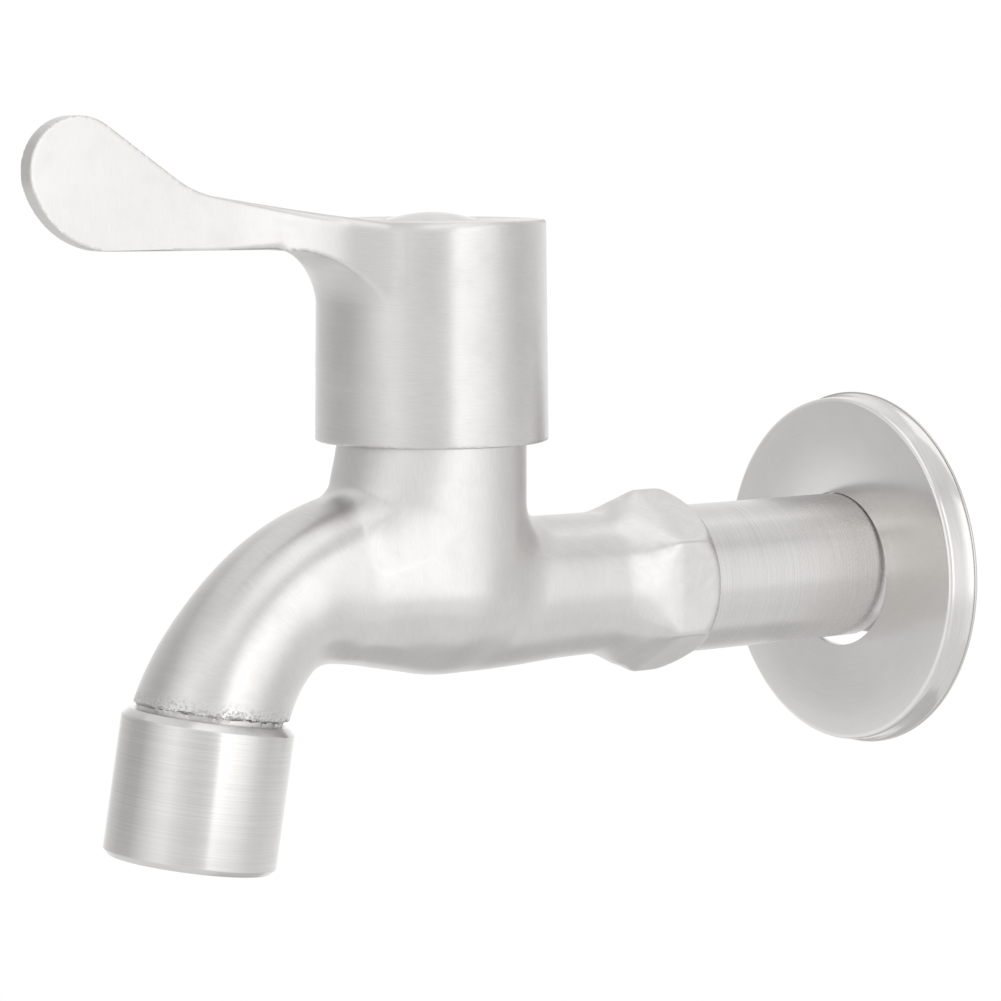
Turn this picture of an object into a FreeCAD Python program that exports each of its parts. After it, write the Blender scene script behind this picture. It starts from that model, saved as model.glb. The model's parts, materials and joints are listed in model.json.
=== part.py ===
import FreeCAD, Part
import math
import os

from FreeCAD import Vector

# A wall tap with a quarter-turn lever. Millimetres, +Z up, +Y into the wall.
# The origin is where the inlet tube's axis meets the wall plane.

# Wall side: G 1/2 tube, thread and cover flange
tube_r = 10.57
thread_r = 10.38
thread_end_y = 14.0
relief_r = 9.3
relief_from_y = -2.8
relief_to_y = -0.8
relief_slope = 0.6
end_chamfer = 1.0
bore_chamfer = 0.4
bore_r = 6.8
socket_r = 8.45
socket_depth = 11.0
tube_washer_h = 1.2
thread_play = 0.05

flange_r_front = 25.4
flange_r_waist = 25.5
flange_r_back = 26.1
flange_depth = 4.4
flange_waist_y = -1.9
flange_lip = 0.4
flange_rim_round = 0.8
flange_sheet = 1.0
flange_hole_r = 11.3
flange_drop = 0.7

# Casting: distances along Y are counted from the handle's axis
reach = 76.5
casting_end = 41.5
hexagon_rise = 0.4
hexagon_half_flats = 11.3
# radius at stations along Y of the swelling that the hexagon is cut from, up to the casting's end
swelling = [
    (27.0, 9.4), (29.5, 10.35), (31.5, 11.5), (33.5, 12.5),
    (35.5, 12.95), (37.5, 13.0), (39.5, 12.6), (casting_end, 11.1),
]
swelling_end_slope = -1.1
# oval sections from the hexagon to the spout: y, z, tilt below -Y in degrees, half width, half height
arm_sections = [
    (31.0, 0.6, 0.0, 10.0, 10.0),
    (29.5, 0.6, 0.0, 10.0, 10.0),
    (25.0, 0.6, 0.0, 10.0, 10.0),
    (18.0, 0.6, 0.0, 10.05, 10.1),
    (10.0, 0.5, 0.0, 10.2, 10.45),
    (1.0, 0.4, 0.0, 10.2, 10.45),
    (-8.4, 2.7, 9.5, 10.1, 11.8),
    (-16.2, 3.6, 17.5, 9.85, 11.75),
    (-23.3, 1.9, 28.0, 9.55, 9.8),
]
neck_r = 12.9
neck_top = 29.0
# level sections of the neck and the chamber's floor: height, share of neck_r, extra length to the spout
neck_levels = [
    (neck_top, 1.0, 0.0), (24.5, 1.0, 0.0), (22.3, 1.0, 0.2), (17.5, 1.0, 1.7), (9.0, 1.0, 2.0),
    (3.0, 1.0, 1.6), (-1.0, 0.95, 0.8), (-5.0, 0.78, 0.0), (-8.0, 0.5, 0.0), (-9.6, 0.15, 0.0),
]
neck_blend_wall_side = 1.8
neck_blend_spout_side = 5.0

# Spout: a bend of one radius that starts inside the valve chamber
bend_r = 30.8
bend_start_y = -6.5
bend_start_z = 7.4
bend_turn = 67.0
bend_middle = 48.0
spout_half_middle = (9.4, 9.45)
spout_half_end = (10.15, 10.15)
spout_half_past_end = (10.6, 10.6)
past_spout_end = 7.0
spout_bore_r = 6.5

# Passage from the inlet bore down to the lower chamber
inlet_bore_end_y = 13.5
passage_r = 3.6
passage_from_y = 5.0
passage_to_y = 15.0
passage_z = -3.8

# Outlet: the spigot and all that screws on it lean out at the bottom
outlet_lean = 9.7
outlet_y = -38.7
outlet_z = -31.75
outlet_r = 11.48
outlet_h = 19.5
outlet_gap = 0.8
lower_chamfer = 0.7
spigot_r = 9.7
spigot_engaged = 8.0
aerator_r = 9.4
lip_r = 8.6
lip_h = 1.2
screen_h = 1.5
screen_pitch = 2.0
screen_hole = 1.3
aerator_h = 7.2
aerator_wall = 1.2
jet_plate_h = 2.0
jet_count = 12
jet_ring_r = 5.4
jet_r = 0.7

# Valve chamber and headwork, heights above the inlet axis
lower_chamber_r = 7.8
lower_chamber_z = 0.2
web_low = -0.5
seat_z = 2.5
seat_hole_r = 5.4
seat_land_r = 8.7
chamber_r = 10.9
neck_thread_r = 10.4
neck_thread_low = 14.5
seal_h = 2.0
disc_h = 3.0
disc_gap = 0.02
moving_disc_h = 2.5
fixed_disc_r = 8.2
moving_disc_r = 7.9
cage_r = 10.2
cage_inner_r = 8.3
foot_h = 3.0
shaft_r = 4.95
shaft_bore_r = 5.0
bonnet_thread_r = 10.35
bonnet_flange_r = 12.6
bonnet_flange_h = 1.8
bonnet_hex_flats = 20.0
bonnet_hex_h = 5.0
nut_corner_cut = 0.4
bonnet_nose_r = 6.6
bonnet_top = 40.3
window_below_foot = 1.4
window_deg = 90.0
o_ring_d = 1.2
stop_rib_deg = 14.0
stop_rib_inner_r = 6.6
quarter_turn = 90.0
stop_play_deg = 1.5
port_r = 6.4
port_inner_r = 2.4
port_deg = 74.0
key_len = 12.4
key_half = 1.7
key_h = 1.2
o_ring_levels = (20.0, 25.0)
groove_h = 1.9
groove_r = 3.5
circlip_h = 0.7
circlip_gap = 3.0
circlip_deep = 0.7
thrust_washer_r = 6.4
thrust_washer_h = 0.5

# Handle
cap_r_low = 15.9
cap_r_top = 15.52
cap_low = 22.3
cap_top = 52.2
skirt_inner_r = 13.8
skirt_ceiling = 47.5
hub_r = 7.6
hub_low = 41.6
spline_teeth = 20
spline_tip_r = 3.95
spline_root_r = 3.5
spline_play = 0.05
spline_top = 45.3
web_floor = 46.0
web_top = 47.6
screw_well_r = 4.2
button_seat = 50.2
button_r = 6.3
button_dome = 1.25
screw_r = 2.0
screw_head_r = 3.5
screw_head_h = 1.8
screw_slot_half = 0.45
screw_slot_depth = 1.0
screw_len = 9.0
lock_washer_r = 3.3
lock_washer_h = 0.7
blade_half = 1.45
flank_r = 28.8
blade_under_tip = 48.85
blade_under_root = 48.35
under_fillet_r = 8.0
top_round_r = 0.6

# Lever seen from the side: paddle arcs and the two straight runs of its top edge
paddle_top_r = 7.1
paddle_top_y = -54.3
paddle_top_z = 59.1
paddle_low_r = 11.85
paddle_slope = 34.5
arm_slope = 9.0
arm_top_y = -29.5
arm_top_z = 54.95
top_bend_r = 14.0

# Levels that follow from the values above
seal_top = seat_z + seal_h
disc_top = seal_top + disc_h
foot_low = disc_top + disc_gap + moving_disc_h
foot_top = foot_low + foot_h

X = Vector(1, 0, 0)
Y = Vector(0, 1, 0)
Z = Vector(0, 0, 1)
handle_axis = Vector(0, -reach, 0)


def save(shape, name):
    if isinstance(shape, list):
        shape = Part.Compound(shape)
    solids = shape.Solids
    shape = solids[0] if len(solids) == 1 else Part.Compound(solids)
    shape.exportStep(os.path.join("parts", name + ".step"))
    print(f"{name:22s} solids {len(solids)} valid {shape.isValid()} volume {shape.Volume:9.1f}")


def at_handle(shape):
    # from handle-axis coordinates into the part's frame
    shape.translate(handle_axis)
    return shape


def at_outlet(shape):
    # from the outlet's own frame (Z up the spout, 0 at its lower face) into the part's frame
    shape.rotate(Vector(0, 0, 0), X, -outlet_lean)
    shape.translate(Vector(0, outlet_y - reach, outlet_z))
    return shape


def disc(r, low, high):
    return Part.makeCylinder(r, high - low, Vector(0, 0, low), Z)


def ring(r_out, r_in, low, high):
    return disc(r_out, low, high).cut(disc(r_in, low - 1, high + 1))


def along_y(r, start, end, rise=0.0):
    return Part.makeCylinder(r, end - start, Vector(0, start, rise), Y)


def turned(points, axis=Z):
    # a lathe profile given as (radius, position along the axis)
    corners = [Vector(r, 0, p) if axis == Z else Vector(r, p, 0) for r, p in points]
    face = Part.Face(Part.makePolygon(corners + corners[:1]))
    return face.revolve(Vector(0, 0, 0), axis, 360)


def polygon_prism(points, low, high):
    corners = [Vector(x, y, low) for x, y in points]
    face = Part.Face(Part.makePolygon(corners + corners[:1]))
    return face.extrude(Vector(0, 0, high - low))


def hexagon(half_flats, start_deg):
    corner_r = half_flats / math.cos(math.radians(30))
    turns = [math.radians(start_deg + 60 * k) for k in range(6)]
    return [(corner_r * math.cos(t), corner_r * math.sin(t)) for t in turns]


def sector(r, low, high, start_deg, turn_deg):
    wedge = Part.makeCylinder(r, high - low, Vector(0, 0, low), Z, turn_deg)
    wedge.rotate(Vector(0, 0, 0), Z, start_deg)
    return wedge


def torus_ring(ring_r, wire_r, z):
    return Part.makeTorus(ring_r, wire_r, Vector(0, 0, z), Z)


# Casting

def smooth_oval(half_width, half_height):
    # closed smooth curve in the XY plane through eight points of an ellipse
    turns = [2 * math.pi * k / 8 - math.pi / 2 for k in range(8)]
    curve = Part.BSplineCurve()
    points = [Vector(half_width * math.cos(t), half_height * math.sin(t), 0) for t in turns]
    curve.interpolate(Points=points, PeriodicFlag=True)
    return curve.toShape()


def oval(y, z, tilt, half_width, half_height):
    # section of the arm or spout, square to a direction 'tilt' degrees below -Y
    section = smooth_oval(half_width, half_height)
    section.rotate(Vector(0, 0, 0), X, 90 + tilt)
    section.translate(Vector(0, y, z))
    return Part.Wire([section])


def neck_section(z, size, front):
    # level section of the neck, 'front' longer on the spout's side
    section = smooth_oval(neck_r * size, neck_r * size + front / 2)
    section.translate(Vector(0, -front / 2, z))
    return Part.Wire([section])


def on_bend(angle):
    # a point of the spout's centre line
    a = math.radians(angle)
    return bend_start_y - bend_r * math.sin(a), bend_start_z - bend_r + bend_r * math.cos(a)


def arm_and_spout():
    end = math.radians(bend_turn)
    end_y, end_z = on_bend(bend_turn)
    past_y = end_y - past_spout_end * math.cos(end)
    past_z = end_z - past_spout_end * math.sin(end)
    sections = [oval(*section) for section in arm_sections]
    sections.append(oval(*on_bend(bend_middle), bend_middle, *spout_half_middle))
    sections.append(oval(end_y, end_z, bend_turn, *spout_half_end))
    sections.append(oval(past_y, past_z, bend_turn, *spout_half_past_end))
    run = Part.makeLoft(sections, True, False)
    box = Part.makeBox(60, 60, 40, Vector(-30, -30, -40))
    box.translate(Vector(0, 0, outlet_h + outlet_gap))
    box.rotate(Vector(0, 0, 0), X, -outlet_lean)
    box.translate(Vector(0, outlet_y, outlet_z))
    return run.cut(box)


def hexagon_swelling():
    points = [Vector(r, y, 0) for y, r in swelling]
    curve = Part.BSplineCurve()
    end_tangent = Vector(swelling_end_slope, 1, 0)
    curve.interpolate(Points=points, InitialTangent=Vector(0, 1, 0), FinalTangent=end_tangent)
    first = Vector(0, points[0].y, 0)
    last = Vector(0, points[-1].y, 0)
    edges = [Part.makeLine(first, points[0]), curve.toShape(), Part.makeLine(points[-1], last)]
    edges.append(Part.makeLine(last, first))
    barrel = Part.Face(Part.Wire(edges)).revolve(Vector(0, 0, 0), Y, 360)
    prism = polygon_prism(hexagon(hexagon_half_flats, 90), 20, 55)
    prism.rotate(Vector(0, 0, 0), X, -90)
    hexagonal = barrel.common(prism)
    hexagonal.translate(Vector(0, 0, hexagon_rise))
    return hexagonal


def waterway():
    # bores of the casting, from the tube's socket to the spout's mouth
    socket = along_y(socket_r, casting_end - socket_depth, casting_end + 1)
    inlet = along_y(spout_bore_r, inlet_bore_end_y, casting_end)
    passage = along_y(passage_r, passage_from_y, passage_to_y, passage_z)
    lower = Part.makeSphere(lower_chamber_r, Vector(0, 0, lower_chamber_z))
    lower = lower.common(disc(lower_chamber_r, lower_chamber_z - lower_chamber_r, web_low))
    seat = disc(seat_hole_r, web_low - 1, seat_z + 1)
    upper = disc(chamber_r, seat_z, neck_thread_low)
    neck_bore = disc(neck_thread_r, neck_thread_low - 1, neck_top + 1)
    centre = Vector(0, bend_start_y, bend_start_z - bend_r)
    mouth = Part.Circle(Vector(0, bend_start_y, bend_start_z), Y, spout_bore_r).toShape()
    bend = Part.Face(Part.Wire([mouth])).revolve(centre, X, bend_turn)
    bend = bend.cut(disc(seat_land_r, web_low - 1, seat_z))
    outlet_bore = disc(bore_r, outlet_h - spigot_engaged - 1, outlet_h + 5)
    outlet_bore.rotate(Vector(0, 0, 0), X, -outlet_lean)
    outlet_bore.translate(Vector(0, outlet_y, outlet_z))
    return [socket, inlet, passage, lower, seat, upper, neck_bore, bend, outlet_bore]


def neck_and_chamber():
    return Part.makeLoft([neck_section(*level) for level in neck_levels], True, False)


def join_edges(shape, first, second):
    # curves where two parts of the casting run into each other
    found = []
    for edge in shape.Edges:
        middle = Part.Vertex(edge.valueAt((edge.FirstParameter + edge.LastParameter) / 2))
        if all(part.Shells[0].distToShape(middle)[0] < 0.005 for part in (first, second)):
            found.append(edge)
    return found


def neck_on_arm():
    # one half is rounded along the join, tight at the wall's side and wide at the spout's, then mirrored
    neck = neck_and_chamber()
    run = arm_and_spout()
    half = neck.fuse(run).common(Part.makeBox(40, 120, 120, Vector(0, -60, -60)))
    join = max(join_edges(half, neck, run), key=lambda edge: edge.Length)
    half = half.makeFillet(neck_blend_wall_side, neck_blend_spout_side, [join])
    return half.fuse(half.mirror(Vector(0, 0, 0), X)).removeSplitter()


def tap_body():
    body = neck_on_arm()
    spigot = disc(spigot_r, outlet_h - spigot_engaged, outlet_h + 3)
    spigot.rotate(Vector(0, 0, 0), X, -outlet_lean)
    spigot.translate(Vector(0, outlet_y, outlet_z))
    body = body.fuse([hexagon_swelling(), spigot])
    return at_handle(body.cut(waterway()))


# Wall side

def inlet_tube():
    inner = casting_end - reach
    spigot_end = inner - socket_depth + tube_washer_h
    profile = [
        (bore_r, spigot_end),
        (socket_r - thread_play, spigot_end),
        (socket_r - thread_play, inner),
        (tube_r, inner),
        (tube_r, relief_from_y - relief_slope),
        (relief_r, relief_from_y),
        (relief_r, relief_to_y),
        (thread_r, relief_to_y + relief_slope),
        (thread_r, thread_end_y - end_chamfer),
        (thread_r - end_chamfer, thread_end_y),
        (bore_r + bore_chamfer, thread_end_y),
        (bore_r, thread_end_y - bore_chamfer),
    ]
    return turned(profile, Y)


def tube_washer():
    bottom = casting_end - reach - socket_depth
    washer = along_y(socket_r - 0.1, bottom, bottom + tube_washer_h)
    return washer.cut(along_y(bore_r, bottom - 1, bottom + 2))


def wall_flange():
    # pressed dish: flat front with the tube's hole, rounded rim, flared side wall, open back
    front = -flange_depth
    profile = [
        (flange_hole_r, front),
        (flange_r_front, front),
        (flange_r_waist, flange_waist_y),
        (flange_r_back, -flange_lip),
        (flange_r_back, 0),
        (flange_r_back - flange_sheet, 0),
        (flange_r_back - flange_sheet, -flange_lip),
        (flange_r_waist - flange_sheet, flange_waist_y),
        (flange_r_front - flange_sheet, front + flange_sheet),
        (flange_hole_r, front + flange_sheet),
    ]
    flange = turned(profile, Y)
    on_front = [edge for edge in flange.Edges if edge.BoundBox.YMax < front + 0.01]
    rim = max(on_front, key=lambda edge: edge.BoundBox.XMax)
    flange = flange.makeFillet(flange_rim_round, [rim])
    flange.translate(Vector(0, 0, -flange_drop))
    return flange


# Outlet

def outlet_collar():
    inner_r = spigot_r + thread_play
    seat_top = outlet_h - spigot_engaged
    profile = [
        (lip_r, 0),
        (outlet_r - lower_chamfer, 0),
        (outlet_r, lower_chamfer),
        (outlet_r, outlet_h - end_chamfer),
        (outlet_r - end_chamfer, outlet_h),
        (inner_r + bore_chamfer, outlet_h),
        (inner_r, outlet_h - bore_chamfer),
        (inner_r, seat_top),
        (aerator_r + 0.1, seat_top),
        (aerator_r + 0.1, lip_h),
        (lip_r, lip_h),
    ]
    return at_outlet(turned(profile))


def aerator_screens():
    # two fine screens; the holes are squares on a square grid
    layer = screen_h / 2 - 0.1
    steps = [k * screen_pitch for k in range(-4, 5)]
    places = [(x, y) for x in steps for y in steps if math.hypot(x, y) < lip_r - aerator_wall]
    half = screen_hole / 2
    corners = [Vector(x - half, y - half, -1) for x, y in places]
    holes = [Part.makeBox(screen_hole, screen_hole, layer + 2, corner) for corner in corners]
    sheet = disc(aerator_r, 0, layer).cut(Part.Compound(holes))
    low = sheet.copy()
    low.translate(Vector(0, 0, lip_h))
    high = sheet.copy()
    high.rotate(Vector(0, 0, 0), Z, 45)
    high.translate(Vector(0, 0, lip_h + screen_h / 2))
    return [at_outlet(low), at_outlet(high)]


def aerator_core():
    # plastic insert: open cup below, jet plate with a ring of holes above
    low = lip_h + screen_h
    top = low + aerator_h
    plate_low = top - jet_plate_h
    core = ring(aerator_r, aerator_r - aerator_wall, low, top)
    core = core.fuse(disc(aerator_r - aerator_wall / 2, plate_low, top))
    for k in range(jet_count):
        turn = 2 * math.pi * k / jet_count
        spot = Vector(jet_ring_r * math.cos(turn), jet_ring_r * math.sin(turn), plate_low - 1)
        core = core.cut(Part.makeCylinder(jet_r, jet_plate_h + 2, spot, Z))
    return at_outlet(core)


def aerator_washer():
    low = lip_h + screen_h + aerator_h
    high = outlet_h - spigot_engaged
    return at_outlet(ring(aerator_r, bore_r, low, high))


# Headwork

def seat_seal():
    return at_handle(ring(fixed_disc_r - 0.1, seat_hole_r + 1.0, seat_z, seat_z + seal_h))


def seal_support_ring():
    return at_handle(ring(seat_hole_r + 0.9, seat_hole_r, seat_z, seat_z + seal_h - 0.2))


def ports(low, high, start_deg):
    # two opposite kidney openings through a ceramic disc
    openings = []
    for side in (0, 180):
        kidney = sector(port_r, low, high, start_deg + side - port_deg / 2, port_deg)
        openings.append(kidney.cut(disc(port_inner_r, low, high)))
    return openings


def fixed_disc():
    shape = disc(fixed_disc_r, seal_top, disc_top)
    for port in ports(seal_top - 1, disc_top + 1, 0):
        shape = shape.cut(port)
    return at_handle(shape)


def drive_key(half_width, low, high):
    return Part.makeBox(key_len, 2 * half_width, high - low, Vector(-key_len / 2, -half_width, low))


def moving_disc():
    shape = disc(moving_disc_r, disc_top + disc_gap, foot_low)
    for port in ports(disc_top - 1, foot_low + 1, 90):
        shape = shape.cut(port)
    return at_handle(shape.cut(drive_key(key_half + 0.05, foot_low - key_h - 0.1, foot_low + 1)))


def bonnet():
    shoulder = foot_top + 0.6
    flange_low = neck_top + o_ring_d
    hex_low = flange_low + bonnet_flange_h
    hex_top = hex_low + bonnet_hex_h
    outer = disc(cage_r, seal_top - 0.4, neck_thread_low + 0.5)
    outer = outer.fuse(disc(bonnet_thread_r, neck_thread_low + 0.5, flange_low))
    outer = outer.fuse(disc(bonnet_flange_r, flange_low, hex_low))
    nut = polygon_prism(hexagon(bonnet_hex_flats / 2, 0), hex_low, hex_top)
    # the nut's upper corners are cut back by a cone of 45 degrees
    cone_h = 6.0
    cone_r = bonnet_hex_flats / 2
    cone_base = Vector(0, 0, hex_top - cone_h + nut_corner_cut)
    outer = outer.fuse(nut.common(Part.makeCone(cone_r + cone_h, cone_r, cone_h, cone_base, Z)))
    outer = outer.fuse(disc(bonnet_nose_r, hex_top, bonnet_top))
    bored = outer.cut(disc(cage_inner_r, seal_top - 1, shoulder))
    bored = bored.cut(disc(shaft_bore_r, shoulder - 1, bonnet_top + 1))
    for middle in (-90, 90):
        start = middle - window_deg / 2
        window = sector(cage_r + 2, foot_low - window_below_foot, foot_top - 0.2, start, window_deg)
        bored = bored.cut(window.cut(disc(cage_inner_r - 1, disc_top, foot_top)))
    rib = sector(cage_inner_r + 0.5, foot_low + 0.3, shoulder + 0.4, -stop_rib_deg / 2, stop_rib_deg)
    rib = rib.cut(disc(stop_rib_inner_r, foot_low, shoulder + 1))
    return at_handle(bored.fuse(rib))


def bonnet_o_ring():
    return at_handle(torus_ring(neck_thread_r + 0.9, o_ring_d / 2, neck_top + o_ring_d / 2))


def thrust_washer():
    low = foot_top + 0.05
    return at_handle(ring(thrust_washer_r, shaft_r + 0.2, low, low + thrust_washer_h))


def spline_outline(play):
    tip = spline_tip_r + play
    root = spline_root_r + play
    step = 2 * math.pi / spline_teeth
    shares = [(root, -0.42), (tip, -0.16), (tip, 0.16), (root, 0.42)]
    outline = []
    for k in range(spline_teeth):
        outline += [(r * math.cos((k + s) * step), r * math.sin((k + s) * step)) for r, s in shares]
    return outline


def spindle():
    foot = disc(moving_disc_r, foot_low, foot_top)
    side_play = stop_rib_deg / 2 + stop_play_deg
    notch_turn = quarter_turn + 2 * side_play
    notch = sector(moving_disc_r + 1, foot_low - 1, foot_top + 1, side_play - notch_turn, notch_turn)
    foot = foot.cut(notch.cut(disc(stop_rib_inner_r - 0.3, foot_low - 1, foot_top + 1)))
    key = drive_key(key_half, foot_low - key_h, foot_low)
    shaft = disc(shaft_r, foot_top - 0.5, hub_low - 0.2)
    for level in o_ring_levels:
        shaft = shaft.cut(ring(shaft_r + 1, groove_r, level - groove_h / 2, level + groove_h / 2))
    clip_low = bonnet_top + 0.05
    shaft = shaft.cut(ring(shaft_r + 1, shaft_r - circlip_deep, clip_low, clip_low + circlip_h + 0.1))
    splined = polygon_prism(spline_outline(0), hub_low - 0.6, spline_top)
    stem = foot.fuse(key).fuse(shaft).fuse(splined)
    return at_handle(stem.cut(disc(screw_r, spline_top - screw_len, spline_top + 1)))


def spindle_o_rings():
    wire = (shaft_bore_r - 0.02 - groove_r) / 2
    return [at_handle(torus_ring(groove_r + wire, wire - 0.01, level)) for level in o_ring_levels]


def spindle_circlip():
    low = bonnet_top + 0.08
    clip = ring(shaft_r + 1.5, shaft_r - circlip_deep + 0.05, low, low + circlip_h)
    gap = Part.makeBox(circlip_gap, 10, 2, Vector(-circlip_gap / 2, 2, low - 0.5))
    return at_handle(clip.cut(gap))


# Handle

def lever_plan():
    # seen from above: thin blade whose flanks flare out to touch the cap's circle
    centre_x = blade_half + flank_r
    start_y = -math.sqrt((flank_r + cap_r_top) ** 2 - centre_x ** 2)
    share = cap_r_top / (flank_r + cap_r_top)
    touch = (centre_x * share, start_y * share)
    half_turn = math.atan2(touch[1] - start_y, centre_x - touch[0]) / 2
    middle = (centre_x - flank_r * math.cos(half_turn), start_y + flank_r * math.sin(half_turn))
    past_tip = -70.0

    def flank(side):
        arc = Part.Arc(Vector(side * blade_half, start_y, 0), Vector(side * middle[0], middle[1], 0),
                       Vector(side * touch[0], touch[1], 0))
        return arc.toShape()

    def line(x0, y0, x1, y1):
        return Part.makeLine(Vector(x0, y0, 0), Vector(x1, y1, 0))

    edges = [
        line(-blade_half, past_tip, blade_half, past_tip),
        line(blade_half, past_tip, blade_half, start_y),
        flank(1),
        line(touch[0], touch[1], 0, 0),
        line(0, 0, -touch[0], touch[1]),
        flank(-1),
        line(-blade_half, start_y, -blade_half, past_tip),
    ]
    face = Part.Face(Part.Wire(Part.__sortEdges__(edges)))
    plan = face.extrude(Vector(0, 0, 40))
    plan.translate(Vector(0, 0, 35))
    return plan


def lever_side():
    # seen from the side: flat underside, egg-shaped paddle, S-shaped top edge
    slope = math.radians(paddle_slope)
    gentle = math.radians(arm_slope)
    upper = Vector(0, paddle_top_y, paddle_top_z)
    lower_z = blade_under_tip + paddle_low_r
    # the lower circle is moved along Y until the upper one touches it from inside
    between_centres = paddle_low_r - paddle_top_r
    sideways = math.sqrt(between_centres ** 2 - (lower_z - paddle_top_z) ** 2)
    lower = Vector(0, paddle_top_y + sideways, lower_z)
    outwards = (upper - lower).normalize()
    tip = upper + outwards * paddle_top_r
    steep_start = upper + Vector(0, math.sin(slope), math.cos(slope)) * paddle_top_r
    # corner where the steep and the gentle run of the top edge would meet
    steep = math.tan(slope)
    soft = math.tan(gentle)
    corner_y = (steep_start.z - arm_top_z + steep * steep_start.y - soft * arm_top_y) / (steep - soft)
    corner = Vector(0, corner_y, arm_top_z - soft * (corner_y - arm_top_y))
    tangent = top_bend_r * math.tan((slope - gentle) / 2)
    before = corner + Vector(0, -math.cos(slope), math.sin(slope)) * tangent
    after = corner + Vector(0, math.cos(gentle), -math.sin(gentle)) * tangent
    half = (slope + gentle) / 2
    sagitta = top_bend_r * (1 / math.cos((slope - gentle) / 2) - 1)
    between = corner + Vector(0, math.sin(half), math.cos(half)) * sagitta
    root_y = arm_top_y + (arm_top_z - cap_top) / soft
    root = Vector(0, root_y, cap_top)
    crown = upper + Vector(0, math.sin(-slope), math.cos(-slope)) * paddle_top_r
    cheek = lower + (outwards - Z).normalize() * paddle_low_r
    low_start = lower - Vector(0, 0, paddle_low_r)
    inside_y = -0.5 * cap_r_top
    inside = Vector(0, inside_y, cap_top)
    under_root = Vector(0, inside_y, blade_under_root)
    edges = [
        Part.makeLine(inside, root),
        Part.makeLine(root, after),
        Part.Arc(after, between, before).toShape(),
        Part.makeLine(before, steep_start),
        Part.Arc(steep_start, crown, tip).toShape(),
        Part.Arc(tip, cheek, low_start).toShape(),
        Part.makeLine(low_start, under_root),
        Part.makeLine(under_root, inside),
    ]
    face = Part.Face(Part.Wire(edges))
    side = face.extrude(Vector(60, 0, 0))
    side.translate(Vector(-30, 0, 0))
    return side


def under_fillet():
    # fills the corner between the blade's flat underside and the cap, turned about the handle's axis
    wall = cap_r_top
    base = blade_under_root - under_fillet_r
    far = wall + under_fillet_r
    turn = math.radians(45)
    middle = Vector(far - under_fillet_r * math.cos(turn), 0, base + under_fillet_r * math.sin(turn))
    over = 0.3
    low = Vector(wall, 0, base)
    high = Vector(far, 0, blade_under_root)
    corners = [
        high,
        Vector(far, 0, blade_under_root + over),
        Vector(wall - 1, 0, blade_under_root + over),
        Vector(wall - 1, 0, base),
        low,
    ]
    edges = [Part.Arc(low, middle, high).toShape()] + Part.makePolygon(corners).Edges
    return Part.Face(Part.Wire(edges)).revolve(Vector(0, 0, 0), Z, 360)


def lever_handle():
    cap = Part.makeCone(cap_r_low, cap_r_top, cap_top - cap_low, Vector(0, 0, cap_low), Z)
    cap = cap.makeFillet(top_round_r, [edge for edge in cap.Edges if edge.BoundBox.ZMin > cap_top - 0.01])
    plan = lever_plan()
    blade = plan.common(lever_side())
    handle = cap.fuse(blade).fuse(plan.common(under_fillet())).removeSplitter()
    hollow = disc(skirt_inner_r, cap_low - 1, skirt_ceiling).cut(disc(hub_r, hub_low, skirt_ceiling + 1))
    handle = handle.cut(hollow)
    handle = handle.cut(polygon_prism(spline_outline(spline_play), hub_low - 1, web_floor))
    handle = handle.cut(disc(screw_r + 0.15, web_floor - 1, web_top + 1))
    handle = handle.cut(disc(screw_well_r, web_top, button_seat + 1))
    handle = handle.cut(disc(button_r + 0.05, button_seat, cap_top + 1))
    return at_handle(handle)


def handle_lock_washer():
    return at_handle(ring(lock_washer_r, screw_r + 0.1, web_top, web_top + lock_washer_h))


def handle_screw():
    head_low = web_top + lock_washer_h
    head_top = head_low + screw_head_h
    head = disc(screw_head_r, head_low, head_top)
    slot_len = 1.25 * screw_head_r
    slot_corner = Vector(-slot_len / 2, -screw_slot_half, head_top - screw_slot_depth)
    for turn in (0, 90):
        slot = Part.makeBox(slot_len, 2 * screw_slot_half, screw_slot_depth + 1, slot_corner)
        slot.rotate(Vector(0, 0, 0), Z, turn)
        head = head.cut(slot)
    shank = disc(screw_r - 0.05, spline_top - screw_len + 1.5, head_low)
    return at_handle(head.fuse(shank))


def index_button():
    # plain domed plug
    sphere_r = (button_r ** 2 + button_dome ** 2) / (2 * button_dome)
    dome = Part.makeSphere(sphere_r, Vector(0, 0, cap_top + button_dome - sphere_r))
    dome = dome.common(disc(button_r, cap_top, cap_top + button_dome + 1))
    plug = disc(button_r, button_seat, cap_top)
    return at_handle(plug.fuse(dome).removeSplitter())


os.makedirs("parts", exist_ok=True)
pieces = [
    tap_body, inlet_tube, tube_washer, wall_flange,
    outlet_collar, aerator_screens, aerator_core, aerator_washer,
    bonnet, bonnet_o_ring, seat_seal, seal_support_ring, fixed_disc,
    moving_disc, spindle, spindle_o_rings, spindle_circlip, thrust_washer,
    lever_handle, handle_lock_washer, handle_screw, index_button,
]
for make in pieces:
    save(make(), make.__name__)
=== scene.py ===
import json
import math

import bmesh
import bpy
import numpy as np
from mathutils import Matrix, Vector


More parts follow.
